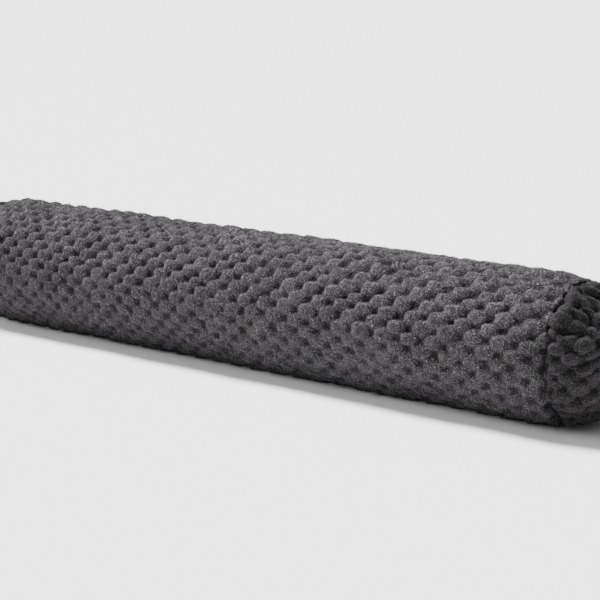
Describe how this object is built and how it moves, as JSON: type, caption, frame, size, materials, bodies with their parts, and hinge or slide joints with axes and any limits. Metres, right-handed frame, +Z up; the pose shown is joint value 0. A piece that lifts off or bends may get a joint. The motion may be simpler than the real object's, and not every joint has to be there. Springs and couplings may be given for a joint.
{
  "type": "body pillow",
  "caption": "Long round bolster pillow in chequered plush, filled tube with a sewn-in round disc at each end, resting on a flattened underside.",
  "frame": {"origin": "middle of the pillow's underside, on the surface it rests on", "axes": "+X along the pillow towards its nearer end in the picture, +Z up"},
  "size_m": [1.374, 0.2338, 0.2215],
  "materials": {
    "tube_plush": "charcoal chequered plush with a short dense pile",
    "disc_plush": "charcoal chequered plush, same cloth as the tube"
  },
  "bodies": {
    "root": {"pillow_tube": "tube_plush", "end_disc_near": "disc_plush", "end_disc_far": "disc_plush"}
  },
  "joints": []
}
